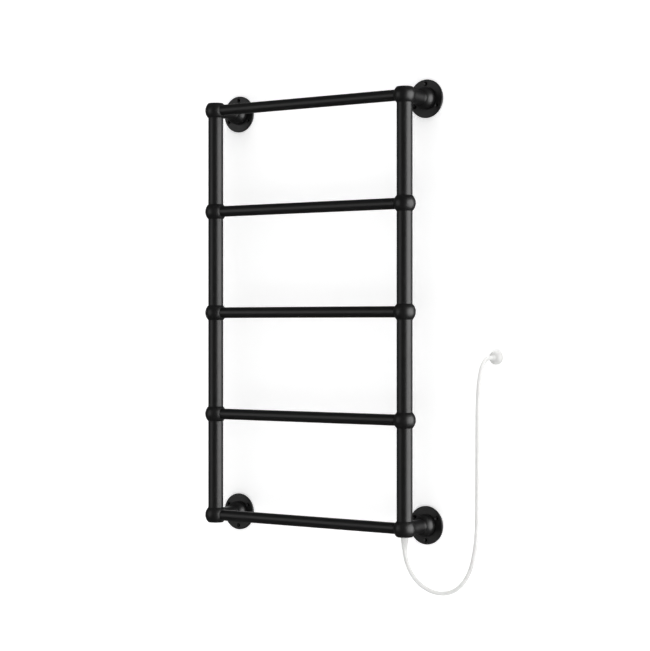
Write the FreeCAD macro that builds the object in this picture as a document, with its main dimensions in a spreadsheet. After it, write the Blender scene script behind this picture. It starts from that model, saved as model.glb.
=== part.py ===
import FreeCAD, Part
import math
import os

import Sketcher
from FreeCAD import Placement, Rotation, Vector

# Wall-hung electric towel warmer: five round bars between two posts, joined by ball
# fittings, standing off the wall on four domed stubs with round flanges.
# Millimetres, +Z up, +X to the right as seen from the room, +Y into the wall.
# Origin: on the wall plane, at the centre of the four flanges.

DIMENSIONS = [
    # frame
    ("bar_pitch", 216.0),
    ("post_spacing", 477.0),
    ("post_to_wall", 84.0),
    ("post_diameter", 31.8),
    ("post_wall", 2.0),
    ("bar_diameter", 23.0),
    ("bar_wall", 1.5),
    # ball fittings: a ball cut flat at each port, with a hollow spigot for each tube
    ("ball_diameter", 44.8),
    ("post_port", 15.8),
    ("bar_port", 18.9),
    ("wall_port", 17.5),
    ("port_edge_round", 0.7),
    ("post_spigot_length", 12.0),
    ("bar_spigot_length", 10.0),
    ("spigot_play", 0.1),
    ("post_bore", 20.0),
    ("bar_bore", 14.0),
    ("end_plug_length", 7.0),
    ("end_plug_socket", 9.2),
    ("end_plug_socket_depth", 4.0),
    # wall flanges
    ("flange_diameter", 78.0),
    ("flange_thickness", 4.0),
    ("flange_edge_round", 1.5),
    ("boss_diameter", 29.8),
    ("boss_bore", 20.0),
    ("boss_height", 13.0),
    ("screw_circle", 60.0),
    ("screw_hole", 5.2),
    ("countersink_diameter", 9.6),
    ("screws_per_flange", 3),
    # standoffs
    ("neck_radius", 14.0),
    ("shoulder_radius", 22.7),
    ("shoulder_edge_round", 2.0),
    ("shoulder_length", 5.7),
    ("dome_radius", 18.0),
    ("dome_height", 22.5),
    ("socket_diameter", 30.0),
    ("socket_depth", 14.0),
    ("bolt_head_bore", 14.4),
    ("bolt_seat", 50.0),
    ("bolt_clearance", 8.6),
    ("set_screw_height", 8.0),
    ("set_screw_hole", 5.0),
    # fasteners
    ("bolt_thread", 8.0),
    ("bolt_play", 0.05),
    ("bolt_head_diameter", 13.0),
    ("bolt_head_height", 5.0),
    ("bolt_engagement", 6.5),
    ("set_screw_diameter", 4.9),
    ("set_screw_length", 6.4),
    ("set_screw_play", 0.1),
    # electrical parts inside the frame
    ("cable_diameter", 5.0),
    ("cable_bend", 12.0),
    ("cable_offset", 4.0),
    ("spacer_thickness", 4.0),
    ("spacer_play", 0.15),
    ("seal_diameter", 7.0),
    ("seal_length", 14.0),
    ("seal_set_in", 60.0),
    ("block_rise", 8.0),
    ("block_width", 16.0),
    ("block_depth", 12.0),
    ("block_height", 30.0),
    ("cutout_width", 8.0),
    ("cutout_depth", 5.0),
    ("cutout_height", 15.0),
    ("clip_thickness", 0.8),
    ("clip_height", 8.0),
    ("clip_gap", 6.0),
    ("clip_tab", 5.0),
    ("clip_tab_root", 0.2),
    ("lead_diameter", 2.2),
    ("lead_offset", 5.0),
    ("lead_spacing", 3.5),
    ("lead_gap", 10.0),
    # cord and plug
    ("gland_length", 9.0),
    ("gland_bore", 13.2),
    ("relief_diameter", 13.0),
    ("relief_head_diameter", 15.6),
    ("relief_head_height", 2.5),
    ("relief_tip_diameter", 9.6),
    ("relief_length", 25.0),
    ("relief_collar_diameter", 17.0),
    ("relief_collar_height", 1.5),
    ("cord_diameter", 8.0),
    ("plug_diameter", 27.5),
    ("plug_rim", 6.0),
    ("plug_edge_round", 1.0),
    ("plug_neck_diameter", 10.5),
    ("plug_tip_diameter", 9.0),
    ("plug_neck_start", 15.0),
    ("plug_length", 24.0),
    ("blade_width", 6.3),
    ("blade_thickness", 1.5),
    ("blade_length", 17.5),
    ("blade_spacing", 12.7),
    ("blade_rise", 4.0),
    ("ground_pin_diameter", 4.8),
    ("ground_pin_length", 20.0),
    ("ground_pin_drop", 11.9),
]

ROWS = 5

# The cord's route, from the strain relief's tip to the plug's neck: straight down, round
# in a loose loop, up in a long straight stretch, and over a bend into the plug.
CORD_ROUTE = [
    Vector(238.5, -84.0, -472.8),
    Vector(239.6, -84.0, -487.0),
    Vector(246.8, -84.0, -506.5),
    Vector(259.5, -84.0, -527.0),
    Vector(281.0, -84.0, -544.0),
    Vector(310.0, -84.0, -554.0),
    Vector(341.0, -84.0, -552.0),
    Vector(367.0, -84.0, -537.0),
    Vector(386.0, -84.0, -511.0),
    Vector(397.0, -84.0, -478.0),
    Vector(403.0, -84.0, -438.0),
    Vector(404.7, -84.0, -395.0),
    Vector(404.7, -83.5, -218.0),
    Vector(404.7, -82.5, -182.0),
    Vector(404.7, -80.0, -152.0),
    Vector(404.7, -75.5, -130.0),
    Vector(404.7, -69.5, -113.5),
    Vector(404.7, -61.5, -101.5),
    Vector(404.7, -51.5, -94.0),
    Vector(404.7, -40.0, -90.7),
    Vector(404.7, -30.0, -90.7),
]


class Length:
    """A size from the sheet, or one worked out from it: its value and its expression."""

    def __init__(self, value, text):
        self.value = value
        self.text = text

    def __add__(self, other):
        other = as_length(other)
        return Length(self.value + other.value, f"({self.text} + {other.text})")

    def __sub__(self, other):
        other = as_length(other)
        return Length(self.value - other.value, f"({self.text} - {other.text})")

    def __mul__(self, other):
        other = as_length(other)
        return Length(self.value * other.value, f"({self.text} * {other.text})")

    def __truediv__(self, other):
        other = as_length(other)
        return Length(self.value / other.value, f"({self.text} / {other.text})")

    def __neg__(self):
        return Length(-self.value, f"(0 - {self.text})")


def as_length(size):
    return size if isinstance(size, Length) else Length(float(size), f"{float(size):g}")


doc = FreeCAD.newDocument("TowelWarmerRack")
sheet = doc.addObject("Spreadsheet::Sheet", "Size")
for line, (alias, number) in enumerate(DIMENSIONS, start=1):
    sheet.set(f"A{line}", alias)
    sheet.set(f"B{line}", str(number))
    sheet.setAlias(f"B{line}", alias)
doc.recompute()
size = {alias: Length(float(sheet.get(alias)), f"Size.{alias}") for alias, _ in DIMENSIONS}
pieces = []


def bind(obj, sizes):
    for name, length in sizes.items():
        obj.setExpression(name, as_length(length).text)
    return obj


def piece(obj, label, placement=None):
    """Name a finished sub-part, place it, and list it for writing."""
    obj.Label = label
    if placement is not None:
        obj.Placement = placement
    pieces.append(obj)
    return obj


# Part primitives and booleans

def place(obj, base, rotation):
    """Place obj, with each coordinate of its base bound to the sheet."""
    base = [as_length(coordinate) for coordinate in base]
    obj.Placement = Placement(Vector(*(coordinate.value for coordinate in base)), rotation)
    for axis, coordinate in zip("xyz", base):
        obj.setExpression(f"Placement.Base.{axis}", coordinate.text)
    return obj


def cylinder(radius, height, base=(0, 0, 0), axis=Vector(0, 0, 1)):
    obj = doc.addObject("Part::Cylinder", "Cylinder")
    bind(obj, {"Radius": radius, "Height": height})
    return place(obj, base, Rotation(Vector(0, 0, 1), axis))


def box(length, width, height, base):
    obj = doc.addObject("Part::Box", "Box")
    bind(obj, {"Length": length, "Width": width, "Height": height})
    return place(obj, base, Rotation())


def hexagon(across_flats, height, base=(0, 0, 0), axis=Vector(0, 0, 1)):
    obj = doc.addObject("Part::Prism", "Hexagon")
    obj.Polygon = 6
    bind(obj, {"Circumradius": across_flats / math.sqrt(3), "Height": height})
    return place(obj, base, Rotation(Vector(0, 0, 1), axis))


def joined(solids):
    obj = doc.addObject("Part::MultiFuse", "Joined")
    obj.Shapes = solids
    return obj


def cut(solid, tool):
    obj = doc.addObject("Part::Cut", "Cut")
    obj.Base = solid
    obj.Tool = tool
    return obj


def group(solids, label):
    """Gather identical solids, which stay separate, into one sub-part."""
    obj = doc.addObject("Part::Compound", "Group")
    obj.Links = solids
    return piece(obj, label)


# PartDesign bodies

def origin_feature(body, role):
    return next(f for f in body.Origin.OriginFeatures if f.Role == role)


def new_sketch(body, plane):
    sketch = body.newObject("Sketcher::SketchObject", "Sketch")
    sketch.AttachmentSupport = [(origin_feature(body, plane), "")]
    sketch.MapMode = "FlatFace"
    return sketch


def bound_constraint(sketch, constraint, length):
    index = sketch.addConstraint(constraint)
    sketch.setExpression(f"Constraints[{index}]", length.text)


def fix_point(sketch, geometry, point, x, y):
    """Hold one point of the sketch at (x, y) from its origin."""
    for kind, length in (("DistanceX", x), ("DistanceY", y)):
        constraint = Sketcher.Constraint(kind, -1, 1, geometry, point, length.value)
        bound_constraint(sketch, constraint, length)


def circle(sketch, radius, x=0, y=0):
    radius, x, y = as_length(radius), as_length(x), as_length(y)
    centre = Vector(x.value, y.value, 0)
    index = sketch.addGeometry(Part.Circle(centre, Vector(0, 0, 1), radius.value), False)
    bound_constraint(sketch, Sketcher.Constraint("Radius", index, radius.value), radius)
    if x.value == 0 and y.value == 0:
        sketch.addConstraint(Sketcher.Constraint("Coincident", index, 3, -1, 1))
    else:
        fix_point(sketch, index, 3, x, y)


def arc_middle(start, end, radius, side):
    """The point halfway along the minor arc that bulges to one side (+1 left) of start-end."""
    chord = end - start
    left = Vector(-chord.y, chord.x, 0).normalize()
    rise = radius - math.sqrt(radius ** 2 - chord.Length ** 2 / 4)
    return (start + end) / 2 + left * (side * rise)


def outline(sketch, corners, arcs):
    """Draw a closed outline. arcs maps a corner's number to the (radius, side) of the arc
    that leads on from it; every other side is a straight line."""
    corners = [(as_length(x), as_length(y)) for x, y in corners]
    points = [Vector(x.value, y.value, 0) for x, y in corners]
    ends = []
    for number, start in enumerate(points):
        end = points[(number + 1) % len(points)]
        if number in arcs:
            radius, side = arcs[number]
            curve = Part.Arc(start, arc_middle(start, end, radius.value, side), end)
        else:
            curve = Part.LineSegment(start, end)
        index = sketch.addGeometry(curve, False)
        forward = sketch.getPoint(index, 1).isEqual(start, 1e-6)
        ends.append((1, 2) if forward else (2, 1))
    for number, (x, y) in enumerate(corners):
        before = number - 1 if number else len(corners) - 1
        sketch.addConstraint(
            Sketcher.Constraint("Coincident", before, ends[before][1], number, ends[number][0])
        )
        fix_point(sketch, number, ends[number][0], x, y)
        if number in arcs:
            radius = arcs[number][0]
            bound_constraint(sketch, Sketcher.Constraint("Radius", number, radius.value), radius)


def turned_body(corners, arcs):
    """A body of revolution about its own Z axis, from an (r, z) outline."""
    body = doc.addObject("PartDesign::Body", "Body")
    sketch = new_sketch(body, "XZ_Plane")
    outline(sketch, corners, arcs)
    turn = body.newObject("PartDesign::Revolution", "Turn")
    turn.Profile = sketch
    turn.ReferenceAxis = (sketch, ["V_Axis"])
    turn.Angle = 360.0
    return body


def tube_body(outer_diameter, wall, length):
    """A tube that stands on its own XY plane."""
    body = doc.addObject("PartDesign::Body", "Body")
    sketch = new_sketch(body, "XY_Plane")
    circle(sketch, outer_diameter / 2)
    circle(sketch, outer_diameter / 2 - wall)
    pad = body.newObject("PartDesign::Pad", "Pad")
    pad.Profile = sketch
    bind(pad, {"Length": length})
    return body


# Places on the frame

TOP, BOTTOM = 1, ROWS
LEFT, RIGHT = -1, 1
SIDE_NAMES = {LEFT: "left", RIGHT: "right"}
CORNER_NAMES = {TOP: "top", BOTTOM: "bottom"}
ALONG_X = Rotation(Vector(0, 0, 1), Vector(1, 0, 0))
OUT_OF_WALL = Rotation(Vector(1, 0, 0), 90)


def bar_z(row):
    """Height of a row's bar; row 1 is the top one."""
    return size["bar_pitch"].value * ((ROWS + 1) / 2 - row)


def post_x(side):
    return side * size["post_spacing"].value / 2


POST_Y = -size["post_to_wall"].value


def corners_of_frame():
    for side in (LEFT, RIGHT):
        for row in (TOP, BOTTOM):
            yield side, row, f"{CORNER_NAMES[row]}_{SIDE_NAMES[side]}"


# Posts and bars

post_length = size["bar_pitch"] - size["post_port"] * 2
bar_length = size["post_spacing"] - size["bar_port"] * 2
post_inner_radius = size["post_diameter"] / 2 - size["post_wall"]
bar_inner_radius = size["bar_diameter"] / 2 - size["bar_wall"]

for side in (LEFT, RIGHT):
    for span in range(1, ROWS):
        foot = Vector(post_x(side), POST_Y, bar_z(span + 1) + size["post_port"].value)
        tube = tube_body(size["post_diameter"], size["post_wall"], post_length)
        piece(tube, f"{SIDE_NAMES[side]}_post_tube_{span}", Placement(foot, Rotation()))

for row in range(1, ROWS + 1):
    start = Vector(-bar_length.value / 2, POST_Y, bar_z(row))
    tube = tube_body(size["bar_diameter"], size["bar_wall"], bar_length)
    piece(tube, f"towel_bar_{row}", Placement(start, ALONG_X))


# Ball fittings

def trimmed_ball(side, row):
    """A ball cut flat at its ports: above and below, at the bar, and at a corner's standoff."""
    radius = size["ball_diameter"] / 2
    bar_port = size["bar_port"]
    depth = radius + size["wall_port"] if row in (TOP, BOTTOM) else radius * 2
    ball = bind(doc.addObject("Part::Sphere", "Ball"), {"Radius": radius})
    low_x = -radius if side == LEFT else -bar_port
    trim = box(radius + bar_port, depth, size["post_port"] * 2, (low_x, -radius, -size["post_port"]))
    trimmed = doc.addObject("Part::Common", "Trimmed")
    trimmed.Base = ball
    trimmed.Tool = trim
    doc.recompute()
    rounded = doc.addObject("Part::Fillet", "Rounded")
    rounded.Base = trimmed
    edge_round = size["port_edge_round"].value
    rounded.Edges = [
        (number, edge_round, edge_round)
        for number, edge in enumerate(trimmed.Shape.Edges, start=1)
        if edge.isClosed()
    ]
    return rounded


def ball_fitting(side, row):
    to_bar = Vector(-side, 0, 0)
    rise = Vector(0, 0, 1)
    play = size["spigot_play"]
    post_reach = size["post_port"] + size["post_spigot_length"]
    bar_reach = size["bar_port"] + size["bar_spigot_length"]
    above = post_reach if row != TOP else size["post_port"] / 2
    below = post_reach if row != BOTTOM else size["post_port"] / 2
    post_spigots = cylinder(post_inner_radius - play, above + below, (0, 0, -below), rise)
    bar_spigot = cylinder(bar_inner_radius - play, bar_reach, axis=to_bar)
    solid = joined([trimmed_ball(side, row), post_spigots, bar_spigot])
    bores = [
        cylinder(size["post_bore"] / 2, post_reach * 2, (0, 0, -post_reach), rise),
        cylinder(size["bar_bore"] / 2, bar_reach, axis=to_bar),
    ]
    if row in (TOP, BOTTOM):
        to_wall = Vector(0, 1, 0)
        bores.append(cylinder(size["bolt_thread"] / 2, size["wall_port"] + 1, axis=to_wall))
    fitting = cut(solid, joined(bores))
    centre = Vector(post_x(side), POST_Y, bar_z(row))
    piece(fitting, f"{SIDE_NAMES[side]}_ball_fitting_{row}", Placement(centre, Rotation()))


for side in (LEFT, RIGHT):
    for row in range(1, ROWS + 1):
        ball_fitting(side, row)


# End plugs close three of the corner fittings; the fourth takes the cord

def end_plug(side, row, name):
    up = 1 if row == TOP else -1
    length, socket = size["end_plug_length"], size["end_plug_socket_depth"]
    plug = cylinder(size["post_bore"] / 2 - size["spigot_play"], length)
    recess = hexagon(size["end_plug_socket"], socket, (0, 0, length - socket))
    inner_end = bar_z(row) + up * (size["post_port"] - length).value
    upright = Rotation(Vector(0, 0, 1), Vector(0, 0, up))
    where = Placement(Vector(post_x(side), POST_Y, inner_end), upright)
    piece(cut(plug, recess), f"end_plug_{name}", where)


for side, row, name in corners_of_frame():
    if (side, row) != (RIGHT, BOTTOM):
        end_plug(side, row, name)


# Wall flanges: a disc with a hollow boss and countersunk screw holes

def flange_body():
    radius, thickness = size["flange_diameter"] / 2, size["flange_thickness"]
    edge = size["flange_edge_round"]
    bore, boss = size["boss_bore"] / 2, size["boss_diameter"] / 2
    boss_top = thickness + size["boss_height"]
    corners = [
        (bore, 0),
        (radius, 0),
        (radius, thickness - edge),
        (radius - edge, thickness),
        (boss, thickness),
        (boss, boss_top),
        (bore, boss_top),
    ]
    body = turned_body(corners, {2: (edge, -1)})
    screw_holes(body, thickness)
    return body


def screw_holes(body, thickness):
    """Cut one countersunk hole above the centre and repeat it round the flange."""
    centre = size["screw_circle"] / 2
    hole, sink = size["screw_hole"] / 2, size["countersink_diameter"] / 2
    over = 1
    sketch = new_sketch(body, "YZ_Plane")
    corners = [
        (centre, -over),
        (centre + hole, -over),
        (centre + hole, thickness - (sink - hole)),
        (centre + sink, thickness),
        (centre + sink, thickness + over),
        (centre, thickness + over),
    ]
    outline(sketch, corners, {})
    low, high = Vector(centre.value, -over, 0), Vector(centre.value, over, 0)
    axis = sketch.addGeometry(Part.LineSegment(low, high), True)
    fix_point(sketch, axis, 1, centre, as_length(-over))
    fix_point(sketch, axis, 2, centre, as_length(over))
    drill = body.newObject("PartDesign::Groove", "ScrewHole")
    drill.Profile = sketch
    drill.ReferenceAxis = (sketch, ["Axis0"])
    drill.Angle = 360.0
    ring = body.newObject("PartDesign::PolarPattern", "ScrewHoles")
    ring.Originals = [drill]
    ring.Axis = (origin_feature(body, "Z_Axis"), [""])
    ring.Angle = 360.0
    ring.setExpression("Occurrences", size["screws_per_flange"].text)
    body.Tip = ring


# Standoffs: a stub that ends in a dome over the flange's boss

def standoff_body():
    neck, shoulder = size["neck_radius"], size["shoulder_radius"]
    edge, bend = size["shoulder_edge_round"], size["dome_radius"]
    seat = size["socket_depth"]
    front = size["post_to_wall"] - size["flange_thickness"] - size["wall_port"]
    crest, top = size["shoulder_length"], size["dome_height"]
    run = top - crest
    rise = neck - shoulder + bend
    fillet = (run * run + rise * rise - bend * bend) / ((bend - rise) * 2)
    reach = fillet + bend
    tangent_r = shoulder - bend + bend * (rise + fillet) / reach
    tangent_z = crest + bend * run / reach
    bolt_seat = size["bolt_seat"] - size["flange_thickness"]
    corners = [
        (size["socket_diameter"] / 2, 0),
        (shoulder - edge, 0),
        (shoulder, edge),
        (shoulder, crest),
        (tangent_r, tangent_z),
        (neck, top),
        (neck, front),
        (size["bolt_clearance"] / 2, front),
        (size["bolt_clearance"] / 2, bolt_seat),
        (size["bolt_head_bore"] / 2, bolt_seat),
        (size["bolt_head_bore"] / 2, seat),
        (size["socket_diameter"] / 2, seat),
    ]
    body = turned_body(corners, {1: (edge, -1), 3: (bend, -1), 4: (fillet, 1)})
    sketch = new_sketch(body, "XZ_Plane")
    circle(sketch, size["set_screw_hole"] / 2, 0, size["set_screw_height"])
    hole = body.newObject("PartDesign::Pocket", "SetScrewHole")
    hole.Profile = sketch
    bind(hole, {"Length": shoulder + 1})
    hole.Reversed = True
    return body


for side, row, name in corners_of_frame():
    half_turn = Rotation(Vector(0, 0, 1), 0 if row == TOP else 180)
    wall_point = Vector(post_x(side), 0, bar_z(row))
    piece(flange_body(), f"wall_flange_{name}", Placement(wall_point, OUT_OF_WALL * half_turn))
    face_point = wall_point - Vector(0, size["flange_thickness"].value, 0)
    piece(standoff_body(), f"standoff_{name}", Placement(face_point, OUT_OF_WALL))


# Fasteners: a bolt through each standoff into its ball fitting, and a set screw on the boss

def standoff_bolt(side, row):
    head_radius, head_height = size["bolt_head_diameter"] / 2, size["bolt_head_height"]
    seat = size["bolt_seat"]
    tip = size["post_to_wall"] - size["wall_port"] + size["bolt_engagement"]
    into_room = Vector(0, -1, 0)
    x, z = post_x(side), bar_z(row)
    shank_radius = size["bolt_thread"] / 2 - size["bolt_play"]
    head = cylinder(head_radius, head_height, (x, head_height - seat, z), into_room)
    shank = cylinder(shank_radius, tip - seat, (x, -seat, z), into_room)
    socket = hexagon(head_radius, head_height / 2, (x, head_height - seat, z), into_room)
    return cut(joined([head, shank]), socket)


def set_screw(side, row):
    screw_y = -(size["flange_thickness"] + size["set_screw_height"])
    length = size["set_screw_length"]
    tip_z = as_length(bar_z(row)) - size["boss_diameter"] / 2 - size["set_screw_play"]
    radius = size["set_screw_diameter"] / 2
    down = Vector(0, 0, -1)
    x = post_x(side)
    screw = cylinder(radius, length, (x, screw_y, tip_z), down)
    socket = hexagon(radius, length / 2, (x, screw_y, tip_z - length / 2), down)
    return cut(screw, socket)


group([standoff_bolt(side, row) for side, row, _ in corners_of_frame()], "standoff_bolts")
group([set_screw(side, row) for side, row, _ in corners_of_frame()], "standoff_set_screws")


# Swept paths

def swept_solid(wire, start, direction, diameter):
    """Sweep a round section along a path and compare its volume with section times length."""
    ring = Part.Wire(Part.Circle(start, direction, diameter / 2).toShape())
    solid = wire.makePipeShell([ring], True, False)
    if solid.ShapeType != "Solid":
        solid = Part.Solid(Part.Shell(solid.Faces))
    expected = math.pi * diameter ** 2 / 4 * wire.Length
    print(f"  length {wire.Length:.1f}  volume / (section x length) {solid.Volume / expected:.4f}")
    return solid


def rounded_path(points, radius_at):
    """Straight runs joined by tangent arcs; radius_at gives the arc at each inner point."""
    edges = []
    last = points[0]
    for before, corner, after in zip(points, points[1:], points[2:]):
        inward = (before - corner).normalize()
        outward = (after - corner).normalize()
        half_turn = (math.pi - inward.getAngle(outward)) / 2
        radius = radius_at(before, corner, after, half_turn)
        set_back = radius * math.tan(half_turn)
        enter, leave = corner + inward * set_back, corner + outward * set_back
        bisector = (inward + outward).normalize()
        middle = corner + bisector * (radius / math.cos(half_turn) - radius)
        edges.append(Part.LineSegment(last, enter).toShape())
        edges.append(Part.Arc(enter, middle, leave).toShape())
        last = leave
    edges.append(Part.LineSegment(last, points[-1]).toShape())
    return Part.Wire(edges)


def feature(label, shape):
    obj = doc.addObject("Part::Feature", "Feature")
    obj.Shape = shape
    return piece(obj, label)


# Heating cable: one twin-core cable that snakes up through every bar

CABLE_Y = POST_Y + size["cable_offset"].value
cable_diameter = size["cable_diameter"].value
spigot_top = bar_z(BOTTOM) + size["post_port"].value + size["post_spigot_length"].value
block_foot = spigot_top + size["block_rise"].value
block_top = block_foot + size["block_height"].value
seal_x = post_x(LEFT) + size["seal_set_in"].value


def cable_bend(before, corner, after, half_turn):
    return size["cable_bend"].value


cable_points = [Vector(post_x(RIGHT), CABLE_Y, block_foot)]
heading = LEFT
for row in range(BOTTOM, TOP - 1, -1):
    cable_points.append(Vector(post_x(-heading), CABLE_Y, bar_z(row)))
    far_end = seal_x if row == TOP else post_x(heading)
    cable_points.append(Vector(far_end, CABLE_Y, bar_z(row)))
    heading = -heading
print("heating_cable")
cable_path = rounded_path(cable_points, cable_bend)
feature("heating_cable", swept_solid(cable_path, cable_points[0], Vector(0, 0, -1), cable_diameter))

seal = cylinder(
    size["seal_diameter"] / 2, size["seal_length"], (seal_x, CABLE_Y, bar_z(TOP)), Vector(-1, 0, 0)
)
piece(seal, "cable_end_seal")


def cable_spacer(row, x):
    disc = cylinder(
        bar_inner_radius - size["spacer_play"],
        size["spacer_thickness"],
        (x, POST_Y, bar_z(row)),
        Vector(1, 0, 0),
    )
    hole = cylinder(
        size["cable_diameter"] / 2 + size["spacer_play"],
        size["spacer_thickness"],
        (x, CABLE_Y, bar_z(row)),
        Vector(1, 0, 0),
    )
    return cut(disc, hole)


spacer_x = bar_length.value / 6
group(
    [cable_spacer(row, x) for row in range(1, ROWS + 1) for x in (-spacer_x, spacer_x)],
    "cable_spacers",
)


# Terminal block, thermal cutout and earth clip, in the lowest length of the right post

def on_post_axis(width, depth, height, foot):
    return box(width, depth, height, (post_x(RIGHT) - width.value / 2, POST_Y - depth.value / 2, foot))


lead_gap = size["lead_gap"].value
cutout_foot = block_top + lead_gap
clip_foot = cutout_foot + size["cutout_height"].value + lead_gap
block = on_post_axis(size["block_width"], size["block_depth"], size["block_height"], block_foot)
piece(block, "terminal_block")
cutout = on_post_axis(size["cutout_width"], size["cutout_depth"], size["cutout_height"], cutout_foot)
piece(cutout, "thermal_cutout")


def earth_clip():
    """A spring ring open at the back, with a tab that reaches in to the earth lead."""
    outer = post_inner_radius - size["spigot_play"]
    inner = outer - size["clip_thickness"]
    height = size["clip_height"]
    gap_width, tab_width = size["clip_gap"], size["clip_tab"]
    x = as_length(post_x(RIGHT))
    ring = cut(
        cylinder(outer, height, (x, POST_Y, clip_foot)),
        cylinder(inner, height, (x, POST_Y, clip_foot)),
    )
    gap = box(gap_width, outer, height, (x - gap_width / 2, POST_Y, clip_foot))
    tab = box(
        tab_width,
        outer - size["lead_offset"],
        size["clip_thickness"],
        (x - tab_width / 2, as_length(POST_Y) - inner - size["clip_tab_root"], clip_foot),
    )
    return joined([cut(ring, gap), tab])


piece(earth_clip(), "earth_clip")


# Gland, strain relief and leads

fitting_foot = bar_z(BOTTOM) - size["post_port"].value
gland_top = fitting_foot + size["gland_length"].value
gland = cut(
    cylinder(
        size["post_bore"] / 2 - size["spigot_play"],
        size["gland_length"],
        (post_x(RIGHT), POST_Y, fitting_foot),
    ),
    cylinder(
        size["gland_bore"] / 2, size["gland_length"], (post_x(RIGHT), POST_Y, fitting_foot)
    ),
)
piece(gland, "cord_gland")


def strain_relief():
    """A moulded boot held between a collar above the gland and a head under the fitting,
    from where it tapers down to the cord."""
    top = size["gland_length"] + size["relief_collar_height"]
    sleeve, tip = size["relief_diameter"] / 2, size["relief_tip_diameter"] / 2
    collar, head = size["relief_collar_diameter"] / 2, size["relief_head_diameter"] / 2
    corners = [
        (0, -size["relief_length"]),
        (tip, -size["relief_length"]),
        (head, -size["relief_head_height"]),
        (head, 0),
        (sleeve, 0),
        (sleeve, size["gland_length"]),
        (collar, size["gland_length"]),
        (collar, top),
        (0, top),
    ]
    return turned_body(corners, {})


relief_place = Placement(Vector(post_x(RIGHT), POST_Y, fitting_foot), Rotation())
piece(strain_relief(), "strain_relief", relief_place)

LEAD_Y = POST_Y - size["lead_offset"].value
lead_foot = gland_top + size["relief_collar_height"].value
lead_radius = size["lead_diameter"] / 2
lead_spacing = size["lead_spacing"].value
supply_leads = [
    cylinder(lead_radius, block_foot - lead_foot, (post_x(RIGHT) + offset, LEAD_Y, lead_foot))
    for offset in (-lead_spacing, 0, lead_spacing)
]
cutout_leads = [
    cylinder(lead_radius / 2, lead_gap, (post_x(RIGHT) + offset, POST_Y, block_top))
    for offset in (-lead_spacing / 2, lead_spacing / 2)
]
earth_lead = cylinder(lead_radius, clip_foot - block_top, (post_x(RIGHT), LEAD_Y, block_top))
group(supply_leads + cutout_leads + [earth_lead], "internal_leads")


# Power cord

def cord_bend(before, corner, after, half_turn):
    shorter = min((corner - before).Length, (after - corner).Length)
    radius = 0.45 * shorter / math.tan(half_turn)
    print(f"  run {shorter:6.1f}  turn {math.degrees(half_turn * 2):5.1f}  radius {radius:7.1f}")
    return radius


print("power_cord")
cord_path = rounded_path(CORD_ROUTE, cord_bend)
cord_start = CORD_ROUTE[0]
cord = swept_solid(cord_path, cord_start, CORD_ROUTE[1] - cord_start, size["cord_diameter"].value)
feature("power_cord", cord)


# Plug: a round domed body with a short neck, two blades and an earth pin

plug_axis = CORD_ROUTE[-1]
plug_face = Vector(plug_axis.x, plug_axis.y + size["plug_length"].value, plug_axis.z)


def plug_body():
    radius, neck = size["plug_diameter"] / 2, size["plug_neck_diameter"] / 2
    edge = size["plug_edge_round"]
    rim, neck_start, length = size["plug_rim"], size["plug_neck_start"], size["plug_length"]
    tip = size["plug_tip_diameter"] / 2
    corners = [
        (0, 0),
        (radius - edge, 0),
        (radius, edge),
        (radius, rim),
        (neck, neck_start),
        (tip, length),
        (0, length),
    ]
    return turned_body(corners, {1: (edge, -1), 3: (radius - edge, -1)})


piece(plug_body(), "plug_body", Placement(plug_face, OUT_OF_WALL))

blade_z = as_length(plug_face.z) + size["blade_rise"]
blades = [
    box(
        size["blade_thickness"],
        size["blade_length"],
        size["blade_width"],
        (
            as_length(plug_face.x + offset) - size["blade_thickness"] / 2,
            plug_face.y,
            blade_z - size["blade_width"] / 2,
        ),
    )
    for offset in (-size["blade_spacing"].value / 2, size["blade_spacing"].value / 2)
]
group(blades, "plug_blades")
earth_pin_foot = (plug_face.x, plug_face.y, blade_z - size["ground_pin_drop"])
earth_pin = cylinder(
    size["ground_pin_diameter"] / 2, size["ground_pin_length"], earth_pin_foot, Vector(0, 1, 0)
)
piece(earth_pin, "plug_earth_pin")


# Check and write

doc.recompute()
for obj in doc.Objects:
    failed = {"Invalid", "Error"} & set(obj.State)
    if failed:
        raise RuntimeError(f"{obj.Label}: {sorted(failed)}")
for obj in pieces:
    if obj.Shape.isNull() or not obj.Shape.isValid():
        raise RuntimeError(f"{obj.Label}: bad shape")

os.makedirs("parts", exist_ok=True)
for obj in pieces:
    obj.Shape.exportStep(f"parts/{obj.Label}.step")
    print(f"{obj.Label:28s} {len(obj.Shape.Solids)} solids {obj.Shape.Volume:10.1f} mm3")
print(len(pieces), "pieces")
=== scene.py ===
import math

import bmesh
import bpy
from mathutils import Matrix, Vector


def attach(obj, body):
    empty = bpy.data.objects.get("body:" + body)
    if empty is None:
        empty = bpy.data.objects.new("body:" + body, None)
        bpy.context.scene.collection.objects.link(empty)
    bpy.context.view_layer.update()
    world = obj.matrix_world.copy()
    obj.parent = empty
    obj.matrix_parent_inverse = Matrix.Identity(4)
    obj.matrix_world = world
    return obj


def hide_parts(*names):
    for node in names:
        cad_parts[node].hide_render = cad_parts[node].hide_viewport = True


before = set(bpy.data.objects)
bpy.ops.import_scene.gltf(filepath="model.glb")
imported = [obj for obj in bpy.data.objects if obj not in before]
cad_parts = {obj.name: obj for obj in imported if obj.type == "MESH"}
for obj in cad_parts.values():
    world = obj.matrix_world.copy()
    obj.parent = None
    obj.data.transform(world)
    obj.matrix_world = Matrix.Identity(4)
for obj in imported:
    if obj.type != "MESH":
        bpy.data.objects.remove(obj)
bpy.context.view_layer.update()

MM = 0.001
FULL_TURN = 2 * math.pi
POST_X, POST_Y, END_BAR_Z = 0.2385, -0.084, 0.432


# Camera: level, at bar height, to the right of the rack and looking left at it.

CAMERA_PLACE = (2.1396, -3.1016, -0.0274)
CAMERA_AZIMUTH = math.radians(34.753)
CAMERA_LENS = 99.1
SENSOR = 36.0


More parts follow.
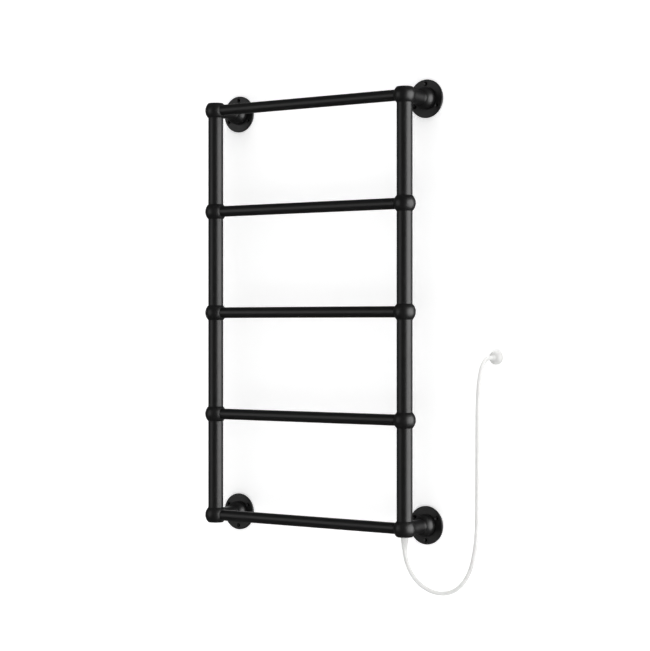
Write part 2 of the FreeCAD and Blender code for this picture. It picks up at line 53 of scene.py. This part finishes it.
def add_camera():
    data = bpy.data.cameras.new("camera")
    data.lens = CAMERA_LENS
    data.sensor_width = SENSOR
    camera = bpy.data.objects.new("camera", data)
    camera.location = CAMERA_PLACE
    camera.rotation_euler = (math.pi / 2, 0, CAMERA_AZIMUTH)
    bpy.context.collection.objects.link(camera)
    bpy.context.scene.camera = camera


add_camera()


# Helpers for pieces

ON_AXIS = 1e-7


def shown(obj):
    bpy.context.collection.objects.link(obj)
    return obj


def stands_for(piece, slot, *nodes):
    """The piece rides with the frame, in place of these CAD nodes, which it hides. slot is not
    used.
    """
    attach(piece, "root")
    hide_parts(*nodes)


def piece_from(mesh, name, material):
    data = bpy.data.meshes.new(name)
    mesh.normal_update()
    mesh.to_mesh(data)
    mesh.free()
    data.materials.append(material)
    return shown(bpy.data.objects.new(name, data))


def smooth_by_angle(obj, degrees=35.0):
    """Smooth shading that keeps every edge sharper than the angle crisp."""
    obj.data.shade_smooth()
    obj.data.set_sharp_from_angle(angle=math.radians(degrees))


def turned(profile, sides, name, material):
    """A surface of revolution about local Z from (r, z) points. A point on the axis caps it."""
    mesh = bmesh.new()
    rings = []
    for radius, height in profile:
        if radius < ON_AXIS:
            rings.append([mesh.verts.new((0, 0, height))] * sides)
            continue
        angles = (FULL_TURN * side / sides for side in range(sides))
        rings.append(
            [mesh.verts.new((radius * math.cos(a), radius * math.sin(a), height)) for a in angles]
        )
    for low, high in zip(rings, rings[1:]):
        for side in range(sides):
            after = (side + 1) % sides
            corners = [low[side], low[after], high[after], high[side]]
            mesh.faces.new(dict.fromkeys(corners))
    bmesh.ops.recalc_face_normals(mesh, faces=mesh.faces)
    return piece_from(mesh, name, material)


# Materials. Every texture is placed in object space, in metres.

def new_material(name):
    material = bpy.data.materials.new(name)
    material.use_nodes = True
    return material, material.node_tree.nodes, material.node_tree.links


def noise(nodes, links, place, grain, detail=2.0):
    """Noise whose features are about grain metres across."""
    texture = nodes.new("ShaderNodeTexNoise")
    texture.inputs["Scale"].default_value = 1 / grain
    texture.inputs["Detail"].default_value = detail
    links.new(place, texture.inputs["Vector"])
    return texture.outputs["Fac"]


NOISE_RANGE = (0.3, 0.7)
MOTTLE_RANGE = (0.35, 0.65)


def spread(nodes, links, value, low, high):
    """Noise, which stays near its middle, stretched to the range low to high."""
    remap = nodes.new("ShaderNodeMapRange")
    remap.inputs["From Min"].default_value = NOISE_RANGE[0]
    remap.inputs["From Max"].default_value = NOISE_RANGE[1]
    remap.inputs["To Min"].default_value = low
    remap.inputs["To Max"].default_value = high
    links.new(value, remap.inputs["Value"])
    return remap.outputs["Result"]


def mottle(nodes, links, value, dark, light):
    ramp = nodes.new("ShaderNodeValToRGB")
    for element, position, colour in zip(ramp.color_ramp.elements, MOTTLE_RANGE, (dark, light)):
        element.position = position
        element.color = (*colour, 1)
    links.new(value, ramp.inputs["Fac"])
    return ramp.outputs["Color"]


def bump(nodes, links, height, depth, before=None):
    """A relief of the given depth in metres, over an earlier one if there is one."""
    relief = nodes.new("ShaderNodeBump")
    relief.inputs["Strength"].default_value = 1.0
    relief.inputs["Distance"].default_value = depth
    links.new(height, relief.inputs["Height"])
    if before is not None:
        links.new(before, relief.inputs["Normal"])
    return relief.outputs["Normal"]


def placed(nodes, links, stretch=(1, 1, 1)):
    place = nodes.new("ShaderNodeTexCoord").outputs["Object"]
    if stretch == (1, 1, 1):
        return place
    mapping = nodes.new("ShaderNodeMapping")
    mapping.inputs["Scale"].default_value = stretch
    links.new(place, mapping.inputs["Vector"])
    return mapping.outputs["Vector"]


def finish(name, dark, light, patch, gloss, grain, depth, stretch=(1, 1, 1), peel=None, **fixed):
    """A finish with mottled colour in patches, uneven gloss, and a fine grain in relief.
    peel is the size and depth of a longer, softer waviness under the grain."""
    material, nodes, links = new_material(name)
    shader = nodes["Principled BSDF"]
    place = placed(nodes, links, stretch)
    broad = noise(nodes, links, place, patch)
    fine = noise(nodes, links, place, grain, detail=3.0)
    links.new(mottle(nodes, links, broad, dark, light), shader.inputs["Base Color"])
    links.new(spread(nodes, links, broad, *gloss), shader.inputs["Roughness"])
    waves = None
    if peel is not None:
        waves = bump(nodes, links, noise(nodes, links, place, peel[0]), peel[1])
    links.new(bump(nodes, links, fine, depth, waves), shader.inputs["Normal"])
    for socket, value in fixed.items():
        shader.inputs[socket.replace("_", " ")].default_value = value
    return material


def grey(level):
    return (level, level, level)


def powder_coat():
    """Satin black powder coat: an even, very dark film with a fine orange peel."""
    return finish(
        "powder_coat", grey(0.0026), grey(0.0036), patch=18 * MM, gloss=(0.37, 0.43),
        grain=0.45 * MM, depth=0.02 * MM, peel=(2.0 * MM, 0.045 * MM),
    )


def black_oxide():
    return finish(
        "black_oxide", grey(0.02), grey(0.035), patch=4 * MM, gloss=(0.3, 0.42),
        grain=0.25 * MM, depth=0.01 * MM, Metallic=0.85,
    )


def cord_sheath():
    """White PVC with a slight sheen and a soft waviness."""
    return finish(
        "cord_sheath", (0.72, 0.72, 0.71), (0.76, 0.76, 0.75), patch=12 * MM, gloss=(0.34, 0.42),
        grain=0.5 * MM, depth=0.008 * MM, peel=(3 * MM, 0.02 * MM),
    )


def plug_plastic():
    return finish(
        "plug_plastic", (0.64, 0.64, 0.63), (0.68, 0.68, 0.67), patch=9 * MM, gloss=(0.36, 0.46),
        grain=0.3 * MM, depth=0.01 * MM,
    )


def plated_brass():
    """Nickel-plated brass with fine scratches along the blade."""
    return finish(
        "plated_brass", (0.62, 0.58, 0.50), (0.74, 0.71, 0.64), patch=3 * MM, gloss=(0.18, 0.32),
        grain=0.12 * MM, depth=0.004 * MM, stretch=(1, 0.08, 1), Metallic=1.0,
    )


def silicone_sheath():
    return finish(
        "silicone_sheath", (0.30, 0.035, 0.02), (0.38, 0.05, 0.03), patch=10 * MM,
        gloss=(0.5, 0.6), grain=0.4 * MM, depth=0.01 * MM,
    )


def spacer_rubber():
    return finish(
        "spacer_rubber", grey(0.03), grey(0.05), patch=5 * MM, gloss=(0.7, 0.85),
        grain=0.3 * MM, depth=0.02 * MM,
    )


def block_plastic():
    return finish(
        "block_plastic", (0.60, 0.57, 0.48), (0.68, 0.65, 0.56), patch=6 * MM, gloss=(0.4, 0.5),
        grain=0.3 * MM, depth=0.01 * MM,
    )


def spring_steel():
    return finish(
        "spring_steel", grey(0.45), grey(0.6), patch=4 * MM, gloss=(0.25, 0.4),
        grain=0.15 * MM, depth=0.004 * MM, stretch=(1, 1, 0.1), Metallic=1.0,
    )


def lead_sheath():
    return finish(
        "lead_sheath", (0.55, 0.52, 0.46), (0.63, 0.60, 0.54), patch=5 * MM, gloss=(0.6, 0.75),
        grain=0.2 * MM, depth=0.02 * MM, stretch=(1, 1, 0.4),
    )


FINISHES = {
    "black_coat": powder_coat(),
    "black_steel": black_oxide(),
    "cable_sheath": silicone_sheath(),
    "spacer_rubber": spacer_rubber(),
    "block_plastic": block_plastic(),
    "spring_steel": spring_steel(),
    "lead_sheath": lead_sheath(),
    "white_cord": cord_sheath(),
    "white_plug": plug_plastic(),
    "blade_brass": plated_brass(),
}

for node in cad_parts.values():
    for slot in node.material_slots:
        slot.material = FINISHES[slot.material.name.split(".")[0]]


# Strain relief: a soft boot that tapers down to the cord, with rings moulded round it so
# that it flexes. Heights are from the underside of the corner fitting.

FITTING_FOOT = (POST_X, POST_Y, -0.4478)


def grooves(start, count, pitch, width, depth, radius_at):
    """Points of evenly spaced V-shaped grooves with a flat floor, going down a turned side."""
    points = []
    for number in range(count):
        top = start - number * pitch
        for drop, cut in ((0, 0), (width * 0.3, depth), (width * 0.7, depth), (width, 0)):
            height = top - drop
            points.append((radius_at(height) - cut, height))
    return points


def strain_relief():
    collar, sleeve, head, tip, bore = 8.5 * MM, 6.5 * MM, 7.8 * MM, 4.8 * MM, 4.2 * MM
    collar_top, collar_foot = 10.5 * MM, 9 * MM
    below_head, length = -2.5 * MM, -25 * MM
    bore_end = length + 0.8 * MM

    def taper(height):
        return head + (tip - head) * (height - below_head) / (length - below_head)

    profile = [
        (0, collar_top),
        (collar, collar_top),
        (collar, collar_foot),
        (sleeve, collar_foot),
        (sleeve, 0),
        (head - 0.4 * MM, 0),
        (head - 0.1 * MM, -0.15 * MM),
        (head, -0.5 * MM),
        (head, below_head),
    ]
    profile += grooves(
        start=-4.6 * MM, count=5, pitch=3.7 * MM, width=1.5 * MM, depth=0.55 * MM, radius_at=taper
    )
    profile += [
        (tip, length + 0.6 * MM),
        (tip - 0.4 * MM, length),
        (bore, length),
        (bore, bore_end),
        (0, bore_end),
    ]
    boot = turned(profile, 96, "relief_boot", FINISHES["white_cord"])
    smooth_by_angle(boot, 50)
    boot.location = FITTING_FOOT
    stands_for(boot, "white_cord", "strain_relief")


# Plug: a moulded dome with a parting line, a ribbed neck, and blades set in its face.
# Its axis runs out from the wall; heights are from its face.

PLUG_FACE = (0.4047, -0.006, -0.0907)
BLADE_SPACING = 12.7 * MM
BLADE_RISE = 4.0 * MM
BLADE_ROOT = 1.0 * MM
EARTH_PIN_DROP = 11.9 * MM


def out_of_wall(piece, rise=0):
    """Turn a piece built along Z to point into the room from the plug's face."""
    x, y, z = PLUG_FACE
    piece.rotation_euler = (math.pi / 2, 0, 0)
    piece.location = (x, y, z + rise)


def plug_dome():
    radius, rim, neck, tip = 13.75 * MM, 6 * MM, 5.25 * MM, 4.5 * MM
    shoulder, length = 15 * MM, 24 * MM
    well, well_depth, lip = 10.6 * MM, 0.5 * MM, 11.2 * MM
    seam_depth = 0.35 * MM
    rib_pitch, rib_depth = 1.9 * MM, 0.4 * MM
    dome_steps = 16
    bend = radius - 1 * MM
    chord = Vector((neck - radius, shoulder - rim))
    middle = Vector((radius + neck, rim + shoulder)) / 2
    across = Vector((-chord.y, chord.x)).normalized()
    centre = middle + across * math.sqrt(bend ** 2 - chord.length_squared / 4)
    start = Vector((radius, rim)) - centre
    sweep = start.angle_signed(Vector((neck, shoulder)) - centre)
    profile = [
        (0, well_depth),
        (well, well_depth),
        (lip, 0),
        (radius - 0.9 * MM, 0),
        (radius - 0.2 * MM, 0.3 * MM),
        (radius, 1 * MM),
        (radius, 2.9 * MM),
        (radius - seam_depth, 3.15 * MM),
        (radius - seam_depth, 3.35 * MM),
        (radius, 3.6 * MM),
    ]
    for step in range(dome_steps + 1):
        spoke = start.copy()
        spoke.rotate(Matrix.Rotation(-sweep * step / dome_steps, 2))
        profile.append(tuple(centre + spoke))
    for number in range(4):
        low = shoulder + 0.9 * MM + rib_pitch * number
        wide = neck + (tip - neck) * (low - shoulder) / (length - shoulder)
        profile += [
            (wide, low),
            (wide - rib_depth, low + 0.35 * MM),
            (wide - rib_depth, low + 0.75 * MM),
            (wide, low + 1.1 * MM),
        ]
    profile += [(tip, length - 0.5 * MM), (tip - 0.4 * MM, length), (0, length)]
    dome = turned(profile, 128, "plug_dome", FINISHES["white_plug"])
    smooth_by_angle(dome, 40)
    out_of_wall(dome)
    stands_for(dome, "white_plug", "plug_body")


def blade(mesh, x):
    """A flat blade along -Z from the plug's face, with a tapered tip and a round hole."""
    half_thick, half_wide, length = 0.75 * MM, 3.15 * MM, 17.5 * MM
    tip_rise, tip_inset = 1.6 * MM, 1.3 * MM
    hole_radius, hole_depth = 1.6 * MM, 14.0 * MM
    corners = [
        (half_wide, BLADE_ROOT),
        (half_wide, tip_rise - length),
        (half_wide - tip_inset, -length),
        (tip_inset - half_wide, -length),
        (-half_wide, tip_rise - length),
        (-half_wide, BLADE_ROOT),
    ]
    sides = 32
    circle = [
        (hole_radius * math.cos(FULL_TURN * side / sides),
         hole_radius * math.sin(FULL_TURN * side / sides) - hole_depth)
        for side in range(sides)
    ]
    edges = []
    for loop in (corners, circle):
        verts = [mesh.verts.new((x - half_thick, across, along)) for across, along in loop]
        ring = zip(verts, verts[1:] + verts[:1])
        edges += [mesh.edges.new(pair) for pair in ring]
    face = bmesh.ops.triangle_fill(mesh, edges=edges, use_beauty=True)
    flat = [item for item in face["geom"] if isinstance(item, bmesh.types.BMFace)]
    bmesh.ops.solidify(mesh, geom=flat, thickness=-half_thick * 2)


def plug_blades():
    mesh = bmesh.new()
    for side in (-1, 1):
        blade(mesh, side * BLADE_SPACING / 2)
    bmesh.ops.recalc_face_normals(mesh, faces=mesh.faces)
    blades = piece_from(mesh, "plug_blade_pair", FINISHES["blade_brass"])
    edge = blades.modifiers.new("edge", "BEVEL")
    edge.width = 0.15 * MM
    edge.segments = 2
    edge.limit_method = "ANGLE"
    out_of_wall(blades, BLADE_RISE)
    stands_for(blades, "blade_brass", "plug_blades")


def plug_earth_pin():
    """A round pin along -Z from the plug's face, with a domed tip."""
    radius, length = 2.4 * MM, 20 * MM
    profile = [(0, BLADE_ROOT), (radius, BLADE_ROOT), (radius, radius - length)]
    tip_steps = 8
    for step in range(1, tip_steps):
        angle = math.radians(90 * step / tip_steps)
        drop = radius - length - radius * math.sin(angle)
        profile.append((radius * math.cos(angle), drop))
    profile.append((0, -length))
    pin = turned(profile, 48, "plug_earth", FINISHES["blade_brass"])
    smooth_by_angle(pin)
    out_of_wall(pin, BLADE_RISE - EARTH_PIN_DROP)
    stands_for(pin, "blade_brass", "plug_earth_pin")


strain_relief()
plug_dome()
plug_blades()
plug_earth_pin()


# Power cord: straight down from the strain relief, round in a loose loop, up, and over a
# bend into the plug.

CORD_DIAMETER = 8.0 * MM
CORD_ROUTE = [
    (0.2385, -0.084, -0.4728),
    (0.2396, -0.084, -0.487),
    (0.2468, -0.084, -0.5065),
    (0.2595, -0.084, -0.527),
    (0.281, -0.084, -0.544),
    (0.310, -0.084, -0.554),
    (0.341, -0.084, -0.552),
    (0.367, -0.084, -0.537),
    (0.386, -0.084, -0.511),
    (0.397, -0.084, -0.478),
    (0.403, -0.084, -0.438),
    (0.4047, -0.084, -0.395),
    (0.4047, -0.0835, -0.218),
    (0.4047, -0.0825, -0.182),
    (0.4047, -0.080, -0.152),
    (0.4047, -0.0755, -0.130),
    (0.4047, -0.0695, -0.1135),
    (0.4047, -0.0615, -0.1015),
    (0.4047, -0.0515, -0.094),
    (0.4047, -0.040, -0.0907),
    (0.4047, -0.030, -0.0907),
]


def power_cord():
    data = bpy.data.curves.new("mains_cord", "CURVE")
    data.dimensions = "3D"
    data.resolution_u = 16
    data.bevel_depth = CORD_DIAMETER / 2
    data.bevel_resolution = 10
    data.use_fill_caps = True
    spline = data.splines.new("NURBS")
    spline.points.add(len(CORD_ROUTE) - 1)
    for point, place in zip(spline.points, CORD_ROUTE):
        point.co = (*place, 1)
    spline.order_u = 3
    spline.use_endpoint_u = True
    data.materials.append(FINISHES["white_cord"])
    return shown(bpy.data.objects.new("mains_cord", data))


cord = power_cord()
stands_for(cord, "white_cord", "power_cord")


# Stage: a white wall behind the rack, softly lit from within so that shadows on it stay
# faint, and a pale floor. Both show from their front only.

WALL_SPAN = 6.0
FLOOR_LEVEL = -0.9
STAGE_WHITE = 0.95
WALL_GLOW = 0.3


def stage_paint(name, glow):
    material, nodes, links = new_material(name)
    shader = nodes["Principled BSDF"]
    shader.inputs["Base Color"].default_value = (STAGE_WHITE, STAGE_WHITE, STAGE_WHITE, 1)
    shader.inputs["Roughness"].default_value = 0.9
    shader.inputs["Specular IOR Level"].default_value = 0.0
    shader.inputs["Emission Color"].default_value = (1, 1, 1, 1)
    shader.inputs["Emission Strength"].default_value = glow
    clear = nodes.new("ShaderNodeBsdfTransparent")
    mix = nodes.new("ShaderNodeMixShader")
    links.new(nodes.new("ShaderNodeNewGeometry").outputs["Backfacing"], mix.inputs["Fac"])
    links.new(shader.outputs["BSDF"], mix.inputs[1])
    links.new(clear.outputs["BSDF"], mix.inputs[2])
    links.new(mix.outputs["Shader"], nodes["Material Output"].inputs["Surface"])
    return material


def stage_plane(name, corners, material):
    data = bpy.data.meshes.new(name)
    data.from_pydata(corners, [], [(0, 1, 2, 3)])
    data.materials.append(material)
    plane = shown(bpy.data.objects.new(name, data))
    plane.visible_glossy = False
    plane.visible_shadow = False


def add_stage():
    half = WALL_SPAN / 2
    wall = [
        (-half, 0, FLOOR_LEVEL), (half, 0, FLOOR_LEVEL), (half, 0, half), (-half, 0, half)
    ]
    floor = [
        (-half, 0, FLOOR_LEVEL),
        (-half, -WALL_SPAN, FLOOR_LEVEL),
        (half, -WALL_SPAN, FLOOR_LEVEL),
        (half, 0, FLOOR_LEVEL),
    ]
    stage_plane("stage_wall", wall, stage_paint("wall_paint", WALL_GLOW))
    stage_plane("stage_floor", floor, stage_paint("floor_paint", 0))


SCREW_CIRCLE_RADIUS = 0.030
SCREW_TURNS = (90, 210, 330)
# Size of each painted hole-shade disc.
HOLE_SHADE_RADIUS = 4 * MM
PROUD_OF_WALL = 0.2 * MM


def add_painted_hole_shade():
    """Flat near-black discs on the wall behind the flanges' screw holes: painted shade standing
    in for the dark inside of the holes.
    """
    material, nodes, _ = new_material("painted_hole_shade")
    # Near-black matt colour: painted shade in place of the shadowed inside of each hole.
    nodes["Principled BSDF"].inputs["Base Color"].default_value = (0.008, 0.008, 0.008, 1)
    nodes["Principled BSDF"].inputs["Roughness"].default_value = 0.95
    nodes["Principled BSDF"].inputs["Specular IOR Level"].default_value = 0.0
    mesh = bmesh.new()
    facing = Matrix.Rotation(math.pi / 2, 4, "X")
    for x in (-POST_X, POST_X):
        for z in (-END_BAR_Z, END_BAR_Z):
            for turn in SCREW_TURNS:
                angle = math.copysign(math.radians(turn), z)
                across = x + SCREW_CIRCLE_RADIUS * math.cos(angle)
                up = z + SCREW_CIRCLE_RADIUS * math.sin(angle)
                spot = Matrix.Translation((across, -PROUD_OF_WALL, up)) @ facing
                bmesh.ops.create_circle(
                    mesh, cap_ends=True, radius=HOLE_SHADE_RADIUS, segments=24, matrix=spot
                )
    piece_from(mesh, "painted_hole_shade_discs", material)


add_stage()
add_painted_hole_shade()


# Light: soft panels round the rack, aimed at its middle

def panel(name, azimuth, elevation, distance, width, height, radiance, lights="both"):
    """A panel facing the rack's middle; azimuth 0 is the room side, +90 is +X.
    lights says what it shows in: matt surfaces, mirrored ones, or both."""
    data = bpy.data.lights.new(name, "AREA")
    data.shape = "RECTANGLE"
    data.size = width
    data.size_y = height
    data.energy = radiance * math.pi * width * height
    light = shown(bpy.data.objects.new(name, data))
    turn, rise = math.radians(azimuth), math.radians(elevation)
    outward = Vector(
        (math.sin(turn) * math.cos(rise), -math.cos(turn) * math.cos(rise), math.sin(rise))
    )
    light.location = outward * distance
    light.rotation_euler = outward.to_track_quat("Z", "Y").to_euler()
    light.visible_camera = False
    light.visible_glossy = lights != "matt"
    light.visible_diffuse = lights != "mirror"


def add_lights():
    panel("key_right", 97, 0, 4.0, width=5.2, height=4.4, radiance=4.8, lights="mirror")
    panel("fill_left", -36, 3, 4.0, width=2.6, height=2.6, radiance=1.05, lights="mirror")
    panel("rear", 215, 10, 4.0, width=1.5, height=3.0, radiance=1.0)
    panel("overhead", 0, 80, 3.5, width=10.0, height=2.0, radiance=3.0, lights="matt")


SURROUND_LEVEL, SURROUND_MIRRORED = 0.56, 0.08
BRIGHTER_TOWARDS = (0.35, 0, 0)


def add_surround():
    """Bright to matt surfaces, more so from the right; dim where it mirrors in glossy ones."""
    world = bpy.data.worlds.new("surround")
    world.use_nodes = True
    bpy.context.scene.world = world
    nodes, links = world.node_tree.nodes, world.node_tree.links
    slope = nodes.new("ShaderNodeVectorMath")
    slope.operation = "DOT_PRODUCT"
    slope.inputs[1].default_value = BRIGHTER_TOWARDS
    links.new(nodes.new("ShaderNodeTexCoord").outputs["Generated"], slope.inputs[0])
    level = nodes.new("ShaderNodeMath")
    level.inputs[1].default_value = SURROUND_LEVEL
    links.new(slope.outputs["Value"], level.inputs[0])
    strength = nodes.new("ShaderNodeMapRange")
    strength.inputs["To Max"].default_value = SURROUND_MIRRORED
    links.new(nodes.new("ShaderNodeLightPath").outputs["Is Glossy Ray"], strength.inputs["Value"])
    links.new(level.outputs["Value"], strength.inputs["To Min"])
    background = nodes["Background"]
    background.inputs["Color"].default_value = (1, 1, 1, 1)
    links.new(strength.outputs["Result"], background.inputs["Strength"])


add_lights()
add_surround()
bpy.context.scene.view_settings.view_transform = "Standard"
